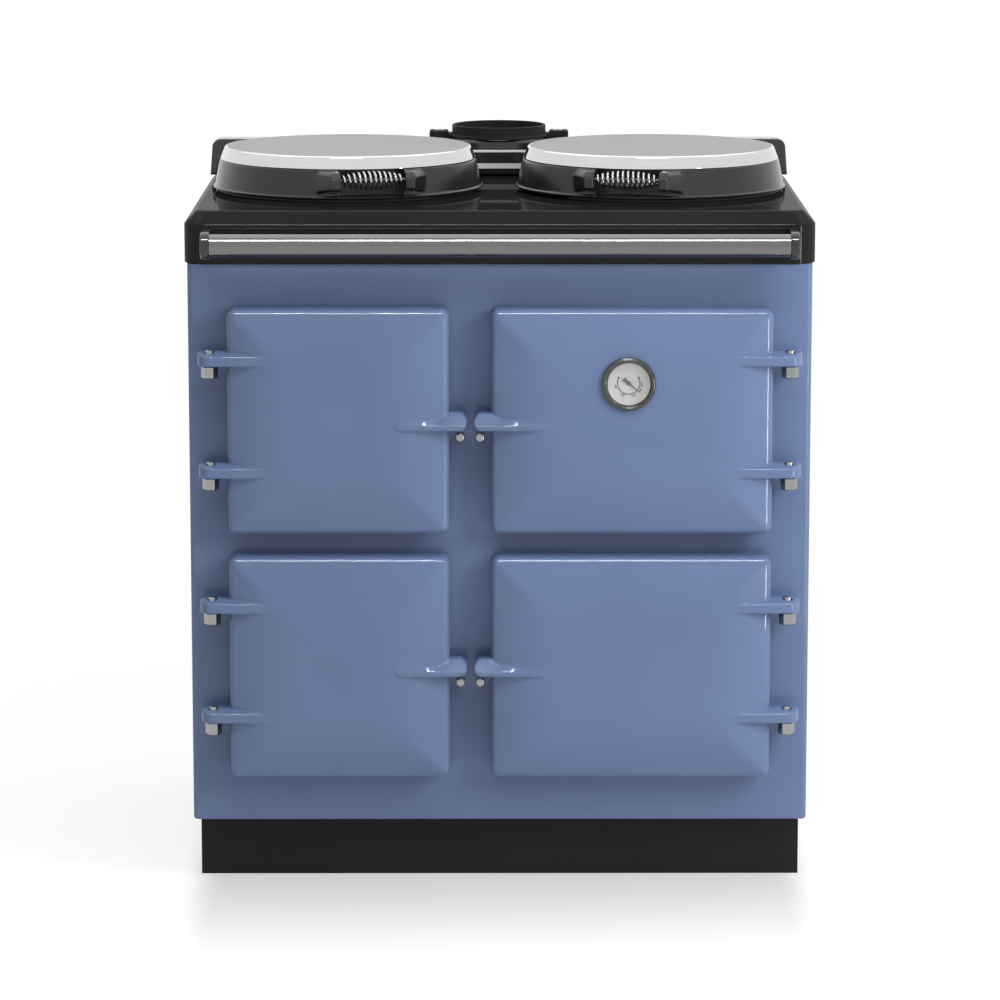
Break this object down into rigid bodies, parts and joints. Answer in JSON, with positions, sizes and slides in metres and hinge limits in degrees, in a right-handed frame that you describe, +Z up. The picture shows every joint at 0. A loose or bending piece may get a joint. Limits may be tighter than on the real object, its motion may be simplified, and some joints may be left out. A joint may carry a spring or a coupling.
{
  "type": "range cooker",
  "caption": "Enamelled heat-storage range cooker with cast doors on pin hinges, insulated hotplate lids with coil-spring handles, a towel rail and a flue collar.",
  "frame": {"origin": "on the floor, under the middle of the bounding box", "axes": "+Z up; the doors face -Y; +X is the viewer's right when facing the doors"},
  "size_m": [0.827, 0.6629, 0.968],
  "materials": {
    "blue_enamel": "glossy vitreous enamel",
    "black_enamel": "glossy vitreous enamel",
    "bright_chrome": "polished",
    "polished_cap": "polished and finely brushed",
    "cast_iron": "machined and seasoned",
    "steel_sheet": "satin",
    "oven_enamel": "speckled grey enamel",
    "shelf_wire": "bright drawn wire",
    "rope_seal": "braided glass rope",
    "mineral_board": "mineral wool",
    "dial_silver": "fine satin",
    "dark_pointer": "matt",
    "gauge_glass": "clear",
    "knob_plastic": "moulded"
  },
  "bodies": {
    "cooker": {"plinth": "black_enamel", "base_plate": "steel_sheet", "side_panel_left": "blue_enamel", "side_panel_right": "blue_enamel", "back_panel": "steel_sheet", "front_plate": "blue_enamel", "top_plate": "black_enamel", "hotplate_left": "cast_iron", "hotplate_right": "cast_iron", "rear_upstand": "black_enamel", "flue_box": "black_enamel", "flue_collar": "black_enamel", "flue_collar_bolts": "bright_chrome", "badge_plate": "bright_chrome", "towel_rail": "bright_chrome", "rail_brackets": "black_enamel", "lid_hinge_brackets": "black_enamel", "lid_hinge_pins": "bright_chrome", "hinge_pins": "bright_chrome", "catch_studs": "bright_chrome", "roasting_oven_liner": "oven_enamel", "simmering_oven_liner": "oven_enamel", "roasting_oven_shelf": "shelf_wire", "simmering_oven_shelf": "shelf_wire", "control_compartment_liner": "steel_sheet", "control_panel": "steel_sheet", "burner_compartment_liner": "steel_sheet", "burner_housing": "cast_iron", "burner_tube": "steel_sheet", "combustion_chamber": "cast_iron", "flue_duct": "steel_sheet", "insulation_boards": "mineral_board"},
    "door_upper_left": {"door_upper_left": "blue_enamel", "door_panel_upper_left": "steel_sheet", "door_seal_upper_left": "rope_seal"},
    "door_upper_right": {"door_upper_right": "blue_enamel", "door_panel_upper_right": "steel_sheet", "door_seal_upper_right": "rope_seal", "gauge_dial": "dial_silver", "gauge_glass": "gauge_glass", "gauge_bezel": "bright_chrome"},
    "door_lower_left": {"door_lower_left": "blue_enamel", "door_panel_lower_left": "steel_sheet", "door_seal_lower_left": "rope_seal"},
    "door_lower_right": {"door_lower_right": "blue_enamel", "door_panel_lower_right": "steel_sheet", "door_seal_lower_right": "rope_seal"},
    "lid_left": {"lid_left": "black_enamel", "lid_cap_left": "polished_cap", "lid_liner_left": "steel_sheet", "handle_rod_left": "bright_chrome", "handle_spring_left": "bright_chrome"},
    "lid_right": {"lid_right": "black_enamel", "lid_cap_right": "polished_cap", "lid_liner_right": "steel_sheet", "handle_rod_right": "bright_chrome", "handle_spring_right": "bright_chrome"},
    "gauge_needle": {"gauge_needle": "dark_pointer"},
    "thermostat_knob": {"thermostat_knob": "knob_plastic"}
  },
  "joints": [
    {"name": "door_upper_left_hinge", "type": "hinge", "parent": "cooker", "child": "door_upper_left", "pos_m": [-0.3785, -0.2995, 0.628], "axis": [0, 0, -1], "range_deg": [0, 110]},
    {"name": "door_upper_right_hinge", "type": "hinge", "parent": "cooker", "child": "door_upper_right", "pos_m": [0.3785, -0.2995, 0.628], "axis": [0, 0, 1], "range_deg": [0, 110]},
    {"name": "door_lower_left_hinge", "type": "hinge", "parent": "cooker", "child": "door_lower_left", "pos_m": [-0.3785, -0.2995, 0.3005], "axis": [0, 0, -1], "range_deg": [0, 110]},
    {"name": "door_lower_right_hinge", "type": "hinge", "parent": "cooker", "child": "door_lower_right", "pos_m": [0.3785, -0.2995, 0.3005], "axis": [0, 0, 1], "range_deg": [0, 110]},
    {"name": "lid_left_hinge", "type": "hinge", "parent": "cooker", "child": "lid_left", "pos_m": [-0.2065, 0.2265, 0.93], "axis": [-1, 0, 0], "range_deg": [0, 95]},
    {"name": "lid_right_hinge", "type": "hinge", "parent": "cooker", "child": "lid_right", "pos_m": [0.2065, 0.2265, 0.93], "axis": [-1, 0, 0], "range_deg": [0, 95]},
    {"name": "gauge_needle_turn", "type": "hinge", "parent": "door_upper_right", "child": "gauge_needle", "pos_m": [0.1675, -0.3115, 0.681], "axis": [0, 1, 0], "range_deg": [-265, 5], "stiffness_Nm_per_rad": 0.002},
    {"name": "thermostat_turn", "type": "hinge", "parent": "cooker", "child": "thermostat_knob", "pos_m": [-0.2115, -0.1485, 0.628], "axis": [0, 1, 0], "range_deg": [-135, 135]}
  ]
}
